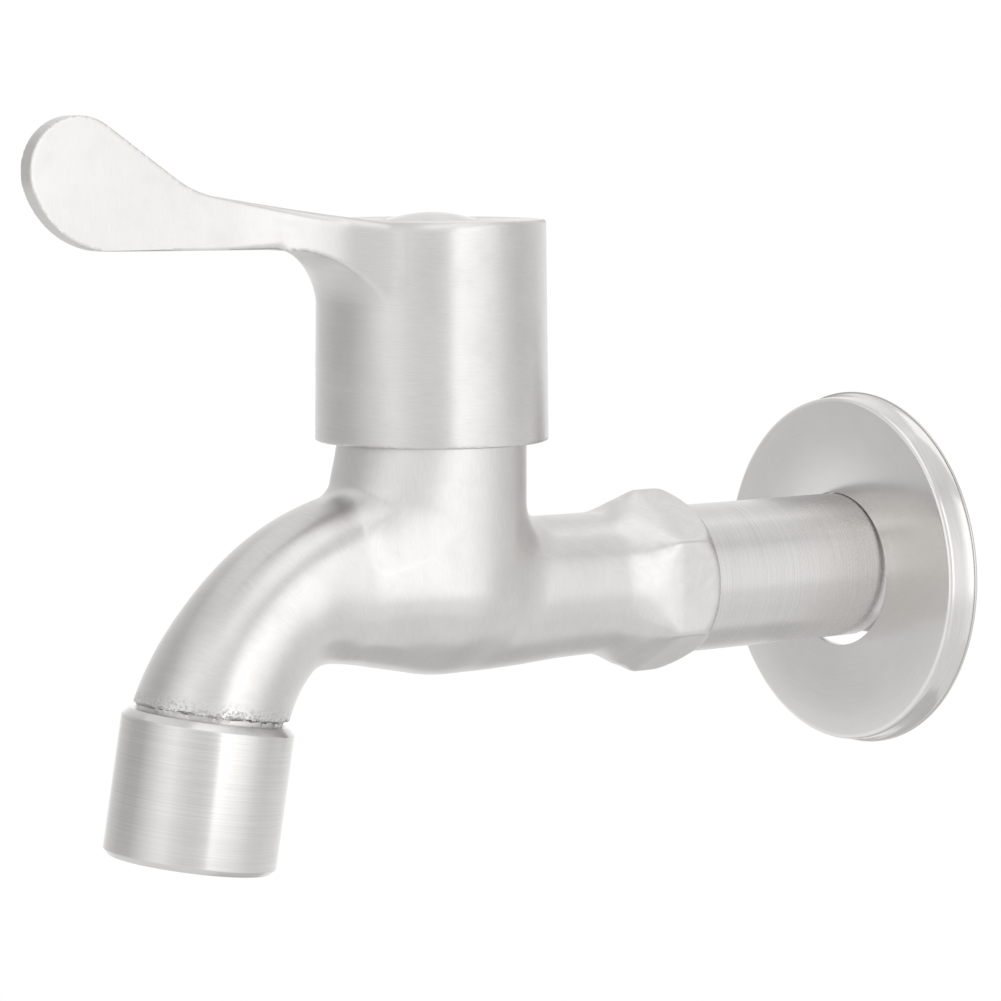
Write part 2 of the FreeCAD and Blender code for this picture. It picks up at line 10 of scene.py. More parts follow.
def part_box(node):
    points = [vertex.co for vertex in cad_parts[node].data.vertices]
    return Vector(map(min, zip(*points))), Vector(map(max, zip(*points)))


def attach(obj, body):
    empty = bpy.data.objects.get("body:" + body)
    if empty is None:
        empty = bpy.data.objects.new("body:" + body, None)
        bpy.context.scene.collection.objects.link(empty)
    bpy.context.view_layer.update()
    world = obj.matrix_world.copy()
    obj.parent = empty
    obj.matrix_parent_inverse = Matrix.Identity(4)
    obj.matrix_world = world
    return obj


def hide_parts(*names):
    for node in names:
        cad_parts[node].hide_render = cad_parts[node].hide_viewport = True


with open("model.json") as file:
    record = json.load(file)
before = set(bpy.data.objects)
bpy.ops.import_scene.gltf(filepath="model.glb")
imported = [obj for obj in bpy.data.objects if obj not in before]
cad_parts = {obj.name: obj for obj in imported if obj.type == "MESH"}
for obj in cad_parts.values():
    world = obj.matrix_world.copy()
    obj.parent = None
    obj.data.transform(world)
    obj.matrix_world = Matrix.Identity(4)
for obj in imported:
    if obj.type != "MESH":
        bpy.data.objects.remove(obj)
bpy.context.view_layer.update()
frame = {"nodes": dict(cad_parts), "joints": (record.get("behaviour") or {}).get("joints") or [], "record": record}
nodes = frame["nodes"]
mm = 0.001
mmPerDegree = 0.5  # along the spout's bend, about
evenRounds, evenShare = 3, 0.6  # how a field's mesh is evened out
slopeStep = 0.02  # mm, over which a field's slope is taken
handle = next(j for j in frame["joints"] if j["name"] == "handle_turn")
handleY = handle["pos_m"][1] / mm  # the handle's axis, in mm from the wall
replaced = set()  # the CAD nodes that a piece stands for
print("frame loaded:", len(nodes), "CAD nodes")


# Helpers for meshes. Shapes are worked out in mm, counted from the handle's axis,
# and moved into the frame when their mesh is made.

def newObject(name, data):
    item = bpy.data.objects.new(name, data)
    bpy.context.scene.collection.objects.link(item)
    return item


def addPiece(name, points, faces, body, stands, smoothAngle):
    mesh = bpy.data.meshes.new(name)
    mesh.from_pydata((np.asarray(points) * mm).tolist(), [], [list(f) for f in faces])
    mesh.validate()
    piece = newObject(name, mesh)
    mesh.polygons.foreach_set("use_smooth", [True] * len(mesh.polygons))
    mesh.set_sharp_from_angle(angle=math.radians(smoothAngle))
    mesh.update()
    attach(piece, body)
    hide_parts(stands)
    replaced.add(stands)
    print("piece", name, len(mesh.vertices), "points")
    return piece


def storeStrokes(piece, stroke, across, acrossNeck, neckShare=0.0, filed=0.0):
    # what the steel needs at each point: the strokes' direction, mm across them in two
    # ways with the share of the second, and how much a file has marked it
    layer = piece.data.attributes.new("stroke", "FLOAT_VECTOR", "POINT")
    layer.data.foreach_set("vector", np.asarray(stroke, np.float32).ravel())
    numbers = {"across": across, "acrossNeck": acrossNeck, "neckShare": neckShare, "filed": filed}
    for name, values in numbers.items():
        layer = piece.data.attributes.new(name, "FLOAT", "POINT")
        layer.data.foreach_set("value", np.broadcast_to(values, len(stroke)).astype(np.float32))


def unit(vectors):
    return vectors / np.maximum(np.linalg.norm(vectors, axis=1), 1e-6)[:, None]


def turnUp(around, share):
    # strokes that turn from 'around' to straight up
    return around * (1 - share[:, None]) + np.array([0.0, 0.0, 1.0]) * share[:, None]


def pointsOf(piece):
    # a piece's points in mm, counted from the handle's axis, and its normals
    points, normals = np.empty((2, 3 * len(piece.data.vertices)), np.float32)
    piece.data.vertices.foreach_get("co", points)
    piece.data.vertex_normals.foreach_get("vector", normals)
    points = points.reshape(-1, 3).astype(float) / mm
    points[:, 1] -= handleY
    return points, normals.reshape(-1, 3).astype(float)


def blendMin(a, b, k):
    # union of two distances with a soft fillet
    share = np.clip(0.5 + 0.5 * (b - a) / k, 0, 1)
    return b + (a - b) * share - k * share * (1 - share)


def blendMax(a, b, k):
    return -blendMin(-a, -b, k)


def ramp(x, start, end):
    t = np.clip((x - start) / (end - start), 0, 1)
    return t * t * (3 - 2 * t)


def towards(a, b, share):
    return a + (b - a) * share


def curveThrough(x, places, values):
    # smooth curve through a few measured stations, flat at both ends
    places, values = np.asarray(places, float), np.asarray(values, float)
    slopes = np.gradient(values, places)
    slopes[0] = slopes[-1] = 0
    x = np.clip(x, places[0], places[-1])
    k = np.clip(np.searchsorted(places, x) - 1, 0, len(places) - 2)
    gap = places[k + 1] - places[k]
    t = (x - places[k]) / gap
    a, b = values[k], values[k + 1]
    return (
        (2 * t ** 3 - 3 * t ** 2 + 1) * a + (t ** 3 - 2 * t ** 2 + t) * gap * slopes[k]
        + (3 * t ** 2 - 2 * t ** 3) * b + (t ** 3 - t ** 2) * gap * slopes[k + 1]
    )


def bores(radius, along, rows):
    # round bores on one axis, each with its radius, start and end
    space = 1e9
    for r, start, end in rows:
        space = np.minimum(space, np.maximum(radius - r, np.maximum(start - along, along - end)))
    return space


def outlineDistance(outline, u, v):
    # signed distance to a closed outline in a plane, negative inside
    u, v = np.broadcast_arrays(u, v)
    nearest = np.full(u.shape, 1e9)
    inside = np.zeros(u.shape, bool)
    for (u0, v0), (u1, v1) in zip(outline, outline[1:] + outline[:1]):
        du, dv = u1 - u0, v1 - v0
        t = np.clip(((u - u0) * du + (v - v0) * dv) / (du * du + dv * dv), 0, 1)
        nearest = np.minimum(nearest, (u - u0 - t * du) ** 2 + (v - v0 - t * dv) ** 2)
        if dv:
            inside ^= ((v0 > v) != (v1 > v)) & (u < u0 + (v - v0) * du / dv)
    return np.where(inside, -1, 1) * np.sqrt(nearest)


def arcPoints(centre, radius, startDeg, endDeg, stepDeg=3.0):
    count = max(2, int(abs(endDeg - startDeg) / stepDeg) + 1)
    turns = [math.radians(startDeg + (endDeg - startDeg) * i / count) for i in range(count + 1)]
    return [(centre[0] + radius * math.cos(t), centre[1] + radius * math.sin(t)) for t in turns]


def fieldMesh(field, low, high, cell):
    # closed mesh on the zero surface of a field: one point in each cell that it crosses,
    # evened out and set back on the surface
    axes = [np.arange(low[k], high[k] + cell, cell) for k in range(3)]
    inside = field(axes[0][:, None, None], axes[1][None, :, None], axes[2][None, None, :]) < 0
    size = np.array(inside.shape)
    count = np.zeros(size - 1, np.int8)
    for i, j, k in np.ndindex(2, 2, 2):
        count += inside[i:size[0] - 1 + i, j:size[1] - 1 + j, k:size[2] - 1 + k]
    crossed = (count > 0) & (count < 8)
    index = np.full(crossed.shape, -1)
    index[crossed] = np.arange(crossed.sum())
    points = np.array([a[0] for a in axes]) + (np.argwhere(crossed) + 0.5) * cell
    quads = []
    for a in range(3):
        stepB, stepC = np.roll(np.eye(3, dtype=int), -a, axis=0)[1:]
        first = np.take(inside, range(size[a] - 1), axis=a)
        second = np.take(inside, range(1, size[a]), axis=a)
        edges = np.argwhere(first != second)
        quad = np.stack([index[tuple((edges - s).T)] for s in (0, stepB, stepB + stepC, stepC)], axis=1)
        outwards = first[tuple(edges.T)]
        quad[~outwards] = quad[~outwards][:, ::-1]
        quads.append(quad)
    quads = np.concatenate(quads)
    for _ in range(evenRounds):
        points = evenOut(points, quads)
        points = ontoSurface(points, field, cell)
    return points, quads


def evenOut(points, quads):
    total = np.zeros_like(points)
    number = np.zeros(len(points))
    for s in range(4):
        a, b = quads[:, s], quads[:, (s + 1) % 4]
        for here, there in ((a, b), (b, a)):
            number += np.bincount(here, minlength=len(points))
            for k in range(3):
                total[:, k] += np.bincount(here, points[there, k], len(points))
    return points + evenShare * (total / number[:, None] - points)


def ontoSurface(points, field, most):
    value = field(*points.T)
    slope = np.empty_like(points)
    for k in range(3):
        step = slopeStep * np.eye(3)[k]
        slope[:, k] = (field(*(points + step).T) - field(*(points - step).T)) / (2 * slopeStep)
    move = -(value / np.maximum((slope ** 2).sum(1), 0.05))[:, None] * slope
    length = np.linalg.norm(move, axis=1)
    return points + move * np.minimum(1, most / np.maximum(length, 1e-9))[:, None]


def toFrame(points):
    return points + [0, handleY, 0]


def movedBy(place, points):
    return np.array([(place @ Vector(p))[:] for p in points])


def turnedMesh(profile, segments, soften=0.0):
    # a lathe profile of (radius, height), closed unless it starts and ends on the axis
    outline = softCorners(profile, soften) if soften else list(profile)
    points, faces = [], []
    turns = [2 * math.pi * s / segments for s in range(segments)]
    rows = []
    for radius, height in outline:
        if radius < 1e-6:
            rows.append([len(points)] * segments)
            points.append((0, 0, height))
        else:
            rows.append(list(range(len(points), len(points) + segments)))
            points += [(radius * math.cos(t), radius * math.sin(t), height) for t in turns]
    onAxis = profile[0][0] < 1e-6 and profile[-1][0] < 1e-6
    for a, b in zip(rows, rows[1:] if onAxis else rows[1:] + rows[:1]):
        for s in range(segments):
            n = (s + 1) % segments
            face = list(dict.fromkeys((a[s], a[n], b[n], b[s])))
            if len(face) > 2:
                faces.append(face)
    return np.array(points), faces


def softCorners(profile, size):
    # every sharp corner of a profile becomes a small round of three points
    outline = []
    count = len(profile)
    for i, (r, h) in enumerate(profile):
        here = Vector((r, h))
        before = Vector(profile[i - 1]) - here
        after = Vector(profile[(i + 1) % count]) - here
        sharp = before.length > 0 and after.length > 0 and before.angle(after) < math.radians(165)
        if r < 1e-6 or not sharp:
            outline.append((r, h))
            continue
        cut = min(size, 0.45 * before.length, 0.45 * after.length)
        start, end = here + before.normalized() * cut, here + after.normalized() * cut
        outline += [tuple(start), tuple(here * 0.5 + (start + end) * 0.25), tuple(end)]
    return outline


# The casting: neck and valve chamber, arm and hexagon on the wall side, spout on the other

casting = {
    "cell": 0.42, "low": (-15.5, -50, -23.5), "high": (15.5, 29.9),
    "neckR": 12.9, "neckTop": 29.0, "neckFloorZ": 3.0, "neckFloor": 1.05,
    "neckFront": 1.8, "frontTop": (23.5, 14.0), "frontLow": (-5.0, 7.0),
    "bendR": 30.8, "bendY": -6.46, "bendZ": -23.37, "bendFrom": -12, "bendFade": 2.0,
    "spoutAngles": [0, 12, 28, 48, 67, 80], "spoutHalf": [9.6, 9.35, 9.4, 9.45, 10.15, 10.5],
    "bellyPlaces": [-22, -14.9, -8.5, -2.0, 6.0, 12.0, 20.0, 31.0],
    "bellyCentre": [0.6, 0.72, 0.8, 0.6, 0.45, 0.5, 0.6, 0.6],
    "bellyHalf": [7.4, 8.0, 9.33, 10.35, 10.45, 10.35, 10.03, 9.98],
    "bellyWide": [7.8, 9.3, 10.0, 10.2, 10.2, 10.15, 10.0, 9.98],
    "bellyFrom": -23.5, "bellyFade": 4.0, "armTo": 35,
    "bendFillet": 3.2, "bendFilletLow": 1.4, "lowFrom": (0.0, -6.0),
    "filletFacing": [-1.0, -0.5, 0.0, 0.3, 0.6, 0.85, 0.97, 1.0],
    "filletSide": [0.0, 0.0, 3.4, 3.4, 4.2, 4.5, 3.0, 2.0],
    "topFillet": 2.0, "sideFrom": (17.5, 12.5),
    "wallFilletTop": 5.0, "wallFilletLow": 3.5, "wallLowFrom": (10.0, 4.5), "wallFacing": (0.0, 0.5),
    "floorFillet": 1.2, "floorFrom": (2.0, -7.0),
    "hexFlats": 11.37, "hexRise": 0.3, "flatsFrom": 34.9, "hexFrom": 25, "hexFillet": 1.6,
    "hexSoft": 0.3, "sidesSoft": 1.4, "sidesLong": 3.0,
    "sidePlaces": [24.0, 27.0, 29.0, 31.0, 33.0, 34.9, 36.8],
    "sideR": [8.0, 9.5, 10.25, 10.85, 11.2, 11.38, 11.4],
    "barrelPlaces": [24.0, 27.0, 29.5, 31.5, 33.5, 35.5, 37.5, 39.5, 41.5, 43.0],
    "barrelR": [7.0, 9.1, 10.9, 12.3, 13.1, 13.4, 13.3, 12.75, 11.2, 9.4],
    "outletY": -38.7, "outletZ": -31.75, "outletLean": 9.7, "outletSide": -15,
    "spoutEnd": 20.3, "endRound": 0.12, "spigotEnd": 11.5, "spigotR": 9.7,
    "spoutReach": 14.2, "neckLean": 0.35, "neckStrokes": (7.0, 14.0), "neckStrokesFrom": (-19.0, -13.0),
    "filedFrom": (2.4, 0.2),
}
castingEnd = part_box("tap_body")[1].y / mm - handleY
farOut = 99  # end of a bore that runs out of the casting
waterway = {  # round bores: radius, from, to
    "alongArm": [(8.45, castingEnd - 11.0, farOut), (6.5, 13.5, farOut)],
    "underNeck": [(3.6, 5.0, 15.0)], "underBy": 3.8,
    "upNeck": [(5.4, -1.5, 3.5), (10.9, 2.5, 14.5), (10.4, 13.5, farOut)],
    "lowerR": 7.8, "lowerZ": 0.2, "lowerTop": -0.5,
    "bendR": 6.5, "bendFrom": 5.5, "bendTo": 67, "mouthR": 6.8, "mouthTop": 24.5,
}


def fromOutlet(x, y, z):
    # height over the outlet's edge and distance from its axis
    lean = math.radians(casting["outletLean"])
    y, z = y - casting["outletY"], z - casting["outletZ"]
    height = y * math.sin(lean) + z * math.cos(lean)
    return height, np.hypot(x, y * math.cos(lean) - z * math.sin(lean))


def alongSpout(y, z):
    # degrees round the bend, and mm off its middle line
    y, z = y - casting["bendY"], z - casting["bendZ"]
    return np.degrees(np.arctan2(-y, z)), np.hypot(y, z) - casting["bendR"]


def neckFillet(x, y, z):
    # width of the blend at the neck: tight at the spout's top, wider down its sides and over
    # the arm, narrow again under the floor
    c = casting
    facing = -y / np.maximum(np.hypot(x, y), 1)
    wall = towards(c["wallFilletTop"], c["wallFilletLow"], ramp(z, *c["wallLowFrom"]))
    fillet = curveThrough(facing, c["filletFacing"], c["filletSide"])
    fillet = towards(c["topFillet"], fillet, ramp(z, *c["sideFrom"]))
    fillet = towards(fillet, wall, ramp(-facing, *c["wallFacing"]))
    return towards(fillet, c["floorFillet"], ramp(z, *c["floorFrom"]))


def castingField(x, y, z):
    c = casting
    # spout: a bend of one radius whose thickness changes a little
    angle, offset = alongSpout(y, z)
    spout = np.hypot(offset, x) - curveThrough(angle, c["spoutAngles"], c["spoutHalf"])
    spout = blendMax(spout, (c["bendFrom"] - angle) * mmPerDegree, c["bendFade"])
    # belly and arm: an oval run along Y
    middle, tall, wide = (
        curveThrough(y, c["bellyPlaces"], c[key]) for key in ("bellyCentre", "bellyHalf", "bellyWide"))
    belly = (np.sqrt((x / wide) ** 2 + ((z - middle) / tall) ** 2) - 1) * np.minimum(wide, tall)
    belly = blendMax(belly, c["bellyFrom"] - y, c["bellyFade"])
    belly = np.maximum(belly, y - c["armTo"])
    # neck: a cylinder, longer on the spout's side, with a round floor
    front = c["neckFront"] * ramp(z, *c["frontTop"]) * ramp(z, *c["frontLow"])
    along = np.where(y < 0, y * c["neckR"] / (c["neckR"] + front), y)
    below = c["neckFloor"] * np.minimum(z - c["neckFloorZ"], 0)
    neck = np.sqrt(x ** 2 + along ** 2 + below ** 2) - c["neckR"]
    neck = np.maximum(neck, z - c["neckTop"])
    body = blendMin(spout, belly, c["bendFillet"] - c["bendFilletLow"] * ramp(z, *c["lowFrom"]))
    body = blendMin(body, neck, neckFillet(x, y, z))
    # hexagon: a swelling whose six sides draw out softly from the arm and end as flats
    rise = z - c["hexRise"]
    soft = c["hexSoft"] + c["sidesSoft"] * ramp(y, c["flatsFrom"], c["flatsFrom"] - c["sidesLong"])
    flats = np.full(np.broadcast(x, rise).shape, -30.0)
    for turn in (0, 60, 120):
        t = math.radians(turn)
        flats = blendMax(flats, np.abs(x * math.cos(t) + rise * math.sin(t)), soft)
    sides = curveThrough(y, c["sidePlaces"], c["sideR"])
    flats = flats - np.where(y < c["flatsFrom"], sides, c["hexFlats"])
    barrel = np.hypot(x, rise) - curveThrough(y, c["barrelPlaces"], c["barrelR"])
    hexagon = blendMax(barrel, flats, soft)
    hexagon = np.maximum(hexagon, c["hexFrom"] - y)
    body = blendMin(body, hexagon, c["hexFillet"])
    # the spout ends square to the outlet, with a spigot for the outlet collar
    height, radius = fromOutlet(x, y, z)
    body = blendMax(body, c["spoutEnd"] - height, c["endRound"])
    spigot = np.maximum(c["spigotEnd"] - height, height - c["spoutEnd"] - 2)
    spigot = np.maximum(np.maximum(radius - c["spigotR"], spigot), y - c["outletSide"])
    body = np.minimum(body, spigot)
    body = np.maximum(body, y - castingEnd - 1.0)
    return np.maximum(body, -waterwayField(x, y, z))


def waterwayField(x, y, z):
    w = waterway
    angle, offset = alongSpout(y, z)
    bendEnds = np.maximum(w["bendFrom"] - angle, angle - w["bendTo"]) * mmPerDegree
    height, radius = fromOutlet(x, y, z)
    mouth = np.maximum(radius - w["mouthR"], height - w["mouthTop"])
    space = bores(np.hypot(x, z), y, w["alongArm"])
    for part in (
        bores(np.hypot(x, z + w["underBy"]), y, w["underNeck"]),
        bores(np.hypot(x, y), z, w["upNeck"]),
        np.maximum(np.sqrt(x ** 2 + y ** 2 + (z - w["lowerZ"]) ** 2) - w["lowerR"], z - w["lowerTop"]),
        np.maximum(np.hypot(offset, x) - w["bendR"], bendEnds),
        np.maximum(mouth, y - casting["outletSide"]),
    ):
        space = np.minimum(space, part)
    return space


def makeCasting():
    c = casting
    high = (c["high"][0], castingEnd + 2.4, c["high"][1])  # past its flat end, which is cut below
    points, quads = fieldMesh(castingField, c["low"], high, c["cell"])
    mesh = bmesh.new()
    verts = [mesh.verts.new(p) for p in points]
    for quad in quads:
        mesh.faces.new([verts[i] for i in quad])
    geometry = mesh.verts[:] + mesh.edges[:] + mesh.faces[:]
    cut = bmesh.ops.bisect_plane(
        mesh, geom=geometry, plane_co=(0, castingEnd, 0), plane_no=(0, 1, 0), clear_outer=True, dist=1e-4)
    rim = [e for e in cut["geom_cut"] if isinstance(e, bmesh.types.BMEdge)]
    bmesh.ops.bridge_loops(mesh, edges=rim)
    mesh.verts.index_update()
    points = np.array([v.co[:] for v in mesh.verts])
    faces = [[v.index for v in f.verts] for f in mesh.faces]
    mesh.free()
    piece = addPiece("cast_body", toFrame(points), faces, "tap", "tap_body", 40)
    local, normals = pointsOf(piece)
    x, y, z = local.T
    # strokes go round the arm and the spout, and up the neck
    angle, offset = alongSpout(y, z)
    onSpout = (y < c["bendY"]) & (offset < c["spoutReach"])
    turn = np.where(onSpout, np.radians(np.clip(angle, 0, 90)), 0)
    run = np.where(onSpout, -c["bendY"] + c["bendR"] * turn, -y)
    direction = np.stack([np.zeros_like(y), -np.cos(turn), -np.sin(turn)], 1)
    onNeck = ramp(z + c["neckLean"] * np.abs(y), *c["neckStrokes"]) * ramp(y, *c["neckStrokesFrom"])
    stroke = turnUp(np.cross(normals, direction), onNeck)
    stroke[np.linalg.norm(stroke, axis=1) < 0.05] = (1, 0, 0)
    endHeight = fromOutlet(x, y, z)[0] - c["spoutEnd"]
    filed = ramp(endHeight, *c["filedFrom"]) * (endHeight > -0.05)
    storeStrokes(piece, unit(stroke), run, np.arctan2(x, -y) * c["neckR"], onNeck, filed)
    return piece


castBody = makeCasting()


# The lever handle: a hollow cap with a thin blade that flares out of it

lever = {
    "cell": 0.34, "low": (-16.6, -62.5, 21.6), "high": (16.6, 16.6, 67.0),
    "capLow": 22.3, "capTop": 52.2, "capRLow": 15.9, "capRTop": 15.52,
    "capRim": 0.5, "bladeRim": 1.2, "bladeRimFrom": (-2.0, 9.0), "capLowRim": 0.45,
    "bladeHalf": 1.45, "flankR": 28.8, "bladeTo": -6.0, "bladeLow": 30.0, "underFrom": -25.5,
    "underTip": 48.85, "underRoot": 48.35, "underFillet": 8.0, "underSlope": 0.012, "underReach": 42,
    "paddleTopR": 7.1, "paddleTopY": -54.3, "paddleTopZ": 59.1, "paddleLowR": 11.85,
    "steep": 34.5, "gentle": 9.0, "armTopY": -29.5, "armTopZ": 54.95, "bendR": 14.0,
    "rim": 0.28, "rootRim": 1.9, "rootFrom": (-38.0, -17.0), "join": 0.15,
    "bladeFrom": (14.0, 21.0), "bladeUp": (38.0, 46.0), "faceFacing": (0.5, 0.9),
    "topFacing": 0.7, "topTo": 54,
}
hollow = {
    "skirtR": 13.8, "skirtTop": 47.5, "hubR": 7.6, "hubFrom": 41.6,
    "bores": [(3.95, 20, 46.0), (2.15, 45, 48), (4.2, 47.6, 51), (6.35, 50.2, 60)],  # radius, from, to
}


def sideOutline():
    # (y, z) outline of the blade, left open under its root for the fillet
    p = lever
    slope, gentle = math.radians(p["steep"]), math.radians(p["gentle"])
    upper = Vector((p["paddleTopY"], p["paddleTopZ"]))
    lowerZ = p["underTip"] + p["paddleLowR"]
    between = p["paddleLowR"] - p["paddleTopR"]
    lower = Vector((upper.x + math.sqrt(between ** 2 - (lowerZ - upper.y) ** 2), lowerZ))
    touch = math.degrees(math.atan2(upper.y - lower.y, upper.x - lower.x))
    steepStart = upper + Vector((math.sin(slope), math.cos(slope))) * p["paddleTopR"]
    # corner where the steep and the gentle run would meet, then a bend that rounds it
    tanA, tanB = math.tan(slope), math.tan(gentle)
    cornerY = (steepStart.y - p["armTopZ"] + tanA * steepStart.x - tanB * p["armTopY"]) / (tanA - tanB)
    corner = Vector((cornerY, p["armTopZ"] - tanB * (cornerY - p["armTopY"])))
    half = (slope - gentle) / 2
    middle = (slope + gentle) / 2
    centre = corner + Vector((math.sin(middle), math.cos(middle))) * p["bendR"] / math.cos(half)
    rootY = p["armTopY"] + (p["armTopZ"] - p["capTop"]) / tanB
    outline = [(p["bladeTo"], p["capTop"]), (rootY, p["capTop"])]
    outline += arcPoints(centre, p["bendR"], -90 - p["gentle"], -90 - p["steep"])
    outline += arcPoints(upper, p["paddleTopR"], 90 - p["steep"], touch % 360)
    outline += arcPoints(lower, p["paddleLowR"], touch % 360, 270)
    outline += [(p["underFrom"], p["underTip"] - 0.3), (p["underFrom"], p["bladeLow"])]
    outline.append((p["bladeTo"], p["bladeLow"]))
    return outline


bladeOutline = sideOutline()


def leverField(x, y, z):
    p = lever
    radius = np.hypot(x, y)
    capR = p["capRLow"] + (z - p["capLow"]) * (p["capRTop"] - p["capRLow"]) / (p["capTop"] - p["capLow"])
    column = radius - capR
    rim = p["capRim"] + p["bladeRim"] * ramp(-y, *p["bladeRimFrom"])
    cap = blendMax(column, z - p["capTop"], rim)
    cap = blendMax(cap, p["capLow"] - z, p["capLowRim"])
    # blade: plan, side and underside, each a distance of its own
    centreX = p["bladeHalf"] + p["flankR"]
    flareY = -math.sqrt((p["flankR"] + p["capRTop"]) ** 2 - centreX ** 2)
    touchY = flareY * p["capRTop"] / (p["flankR"] + p["capRTop"])
    flare = p["flankR"] - np.hypot(np.abs(x) - centreX, y - flareY)
    plan = np.where(y < flareY, np.abs(x) - p["bladeHalf"], flare)
    side = outlineDistance(bladeOutline, y, z)
    f = p["underFillet"]
    under = p["underRoot"] - z + p["underSlope"] * np.minimum(-f - y, p["underReach"])
    lowerSkin = np.maximum(f, np.minimum(column, under)) - np.hypot(
        np.maximum(f - column, 0), np.maximum(f - under, 0))
    root = towards(p["rim"], p["rootRim"], ramp(y, *p["rootFrom"]))
    blade = blendMax(plan, side, root)
    blade = blendMax(blade, lowerSkin, p["rim"])
    blade = np.maximum(blade, y - touchY)
    handle = blendMin(cap, blade, p["join"])
    return np.maximum(handle, -handleHollow(radius, z))


def handleHollow(radius, z):
    h = hollow
    skirt = np.maximum(radius - h["skirtR"], z - h["skirtTop"])
    hub = np.maximum(radius - h["hubR"], h["hubFrom"] - z)
    return np.minimum(np.maximum(skirt, -hub), bores(radius, z, h["bores"]))


def makeLever():
    points, quads = fieldMesh(leverField, lever["low"], lever["high"], lever["cell"])
    piece = addPiece("lever_cap_and_blade", toFrame(points), quads, "lever",
                     "lever_handle", 40)
    local, normals = pointsOf(piece)
    x, y, z = local.T
    # strokes go round the cap and up the blade
    around = unit(np.stack([-y, x, np.zeros_like(x)], 1))
    onBlade = ramp(-y, *lever["bladeFrom"]) * ramp(z, *lever["bladeUp"])
    onTop = (normals[:, 2] > lever["topFacing"]) & (z < lever["topTo"])
    # the blade's broad faces: strokes there run up the blade, and a painted sheen lightens their colour
    onFace = onBlade * ramp(np.abs(normals[:, 0]), *lever["faceFacing"])
    storeStrokes(piece, unit(turnUp(around, onBlade)), np.where(onTop, np.hypot(x, y), z), y, onFace)
    return piece


leverPiece = makeLever()


# Turned and pressed pieces

def placeTurned(name, profile, settings, place, body, stands):
    # the profile turns about its own Z, which 'place' sets into the frame (mm)
    points, faces = turnedMesh(profile, settings["segments"], settings["soften"])
    piece = addPiece(name, movedBy(place, points), faces, body, stands, 30)
    radial = points * [1, 1, 0]
    length = np.maximum(np.linalg.norm(radial, axis=1), 1e-6)[:, None]
    turn = np.array(place.to_3x3())
    around = np.cross([0, 0, 1], radial / length) @ turn.T
    around[length[:, 0] < 1e-3] = turn[:, 0]
    across = points[:, 2] + length[:, 0]
    storeStrokes(piece, around, across, across)
    return piece


outletCollar = {
    "outerR": 11.48, "height": 19.5, "lipR": 8.6, "lipHigh": 1.2, "innerR": 9.5, "lowEdge": 0.75,
    "topEdge": 0.95, "boreEdge": 0.4, "clearance": 0.05, "soften": 0.1, "segments": 192,
}
outletPlace = (
    Matrix.Translation((0, casting["outletY"] + handleY, casting["outletZ"]))
    @ Matrix.Rotation(math.radians(-casting["outletLean"]), 4, "X")
)


def makeOutletCollar():
    o = outletCollar
    boreR, boreEnd = casting["spigotR"] + o["clearance"], casting["spigotEnd"]
    profile = [
        (o["lipR"], 0.0), (o["outerR"] - o["lowEdge"], 0.0), (o["outerR"], o["lowEdge"]),
        (o["outerR"], o["height"] - o["topEdge"]), (o["outerR"] - o["topEdge"], o["height"]),
        (casting["spigotR"] + o["boreEdge"], o["height"]), (boreR, o["height"] - o["boreEdge"]),
        (boreR, boreEnd), (o["innerR"], boreEnd), (o["innerR"], o["lipHigh"]), (o["lipR"], o["lipHigh"]),
    ]
    return placeTurned("outlet_collar_turned", profile, o, outletPlace, "tap",
                       "outlet_collar")


outletCollarPiece = makeOutletCollar()

flange = {
    "frontR": 25.4, "waistR": 25.5, "waistY": -1.9, "backR": 26.1, "deep": 4.4, "sheet": 1.0,
    "rim": 0.8, "lip": 0.4, "lean": 0.3, "holeR": 11.3, "drop": 0.7, "soften": 0.12, "segments": 256,
}
alongY = Matrix.Rotation(math.radians(-90), 4, "X")  # a turned piece's Z onto the frame's +Y


def makeFlange():
    f = flange
    rim = [(f["frontR"] - f["rim"] * (1 - math.sin(t)), -f["deep"] + f["rim"] * (1 - math.cos(t)))
           for t in [math.radians(a) for a in range(0, 91, 10)]]
    # the side wall draws in a little, then flares to a straight lip
    wall = [(f["waistR"] + (f["backR"] - f["waistR"]) * t * t, f["waistY"] * (1 - t))
            for t in (0, 0.3, 0.55, 0.8)]
    profile = [(f["holeR"], -f["deep"])] + rim + wall + [
        (f["backR"], -f["lip"]), (f["backR"], 0.0), (f["backR"] - f["sheet"], 0.0),
        (f["frontR"] - f["sheet"] - f["lean"], -f["deep"] + f["sheet"]),
        (f["holeR"], -f["deep"] + f["sheet"]),
    ]
    place = Matrix.Translation((0, 0, -f["drop"])) @ alongY
    piece = placeTurned("wall_flange_pressed", profile, f, place, "flange", "wall_flange")
    # the front face gets a painted sheen: its colour is lighter
    local, normals = pointsOf(piece)
    paintedSheenFront = ramp(-normals[:, 1], 0.6, 0.95) * (local[:, 1] + handleY < f["sheet"] / 2 - f["deep"])
    piece.data.attributes["neckShare"].data.foreach_set("value", paintedSheenFront.astype(np.float32))
    return piece


flangePiece = makeFlange()

tube = {
    "r": 10.55, "boreR": 6.8, "socketR": 8.4, "edge": 0.25, "boreEdge": 0.4,
    "groove": [(0.0, -2.9), (0.1, -2.8), (1.25, -2.2), (1.25, -0.8)],  # depth and place along the tube
    "threadFrom": -0.2, "pitch": 1.814, "deep": 1.1, "crestFlat": 0.08, "under": 0.02,
    "growth": 0.9, "leadIn": 0.5, "leadOut": 0.9, "segments": 192, "step": 0.09,
}


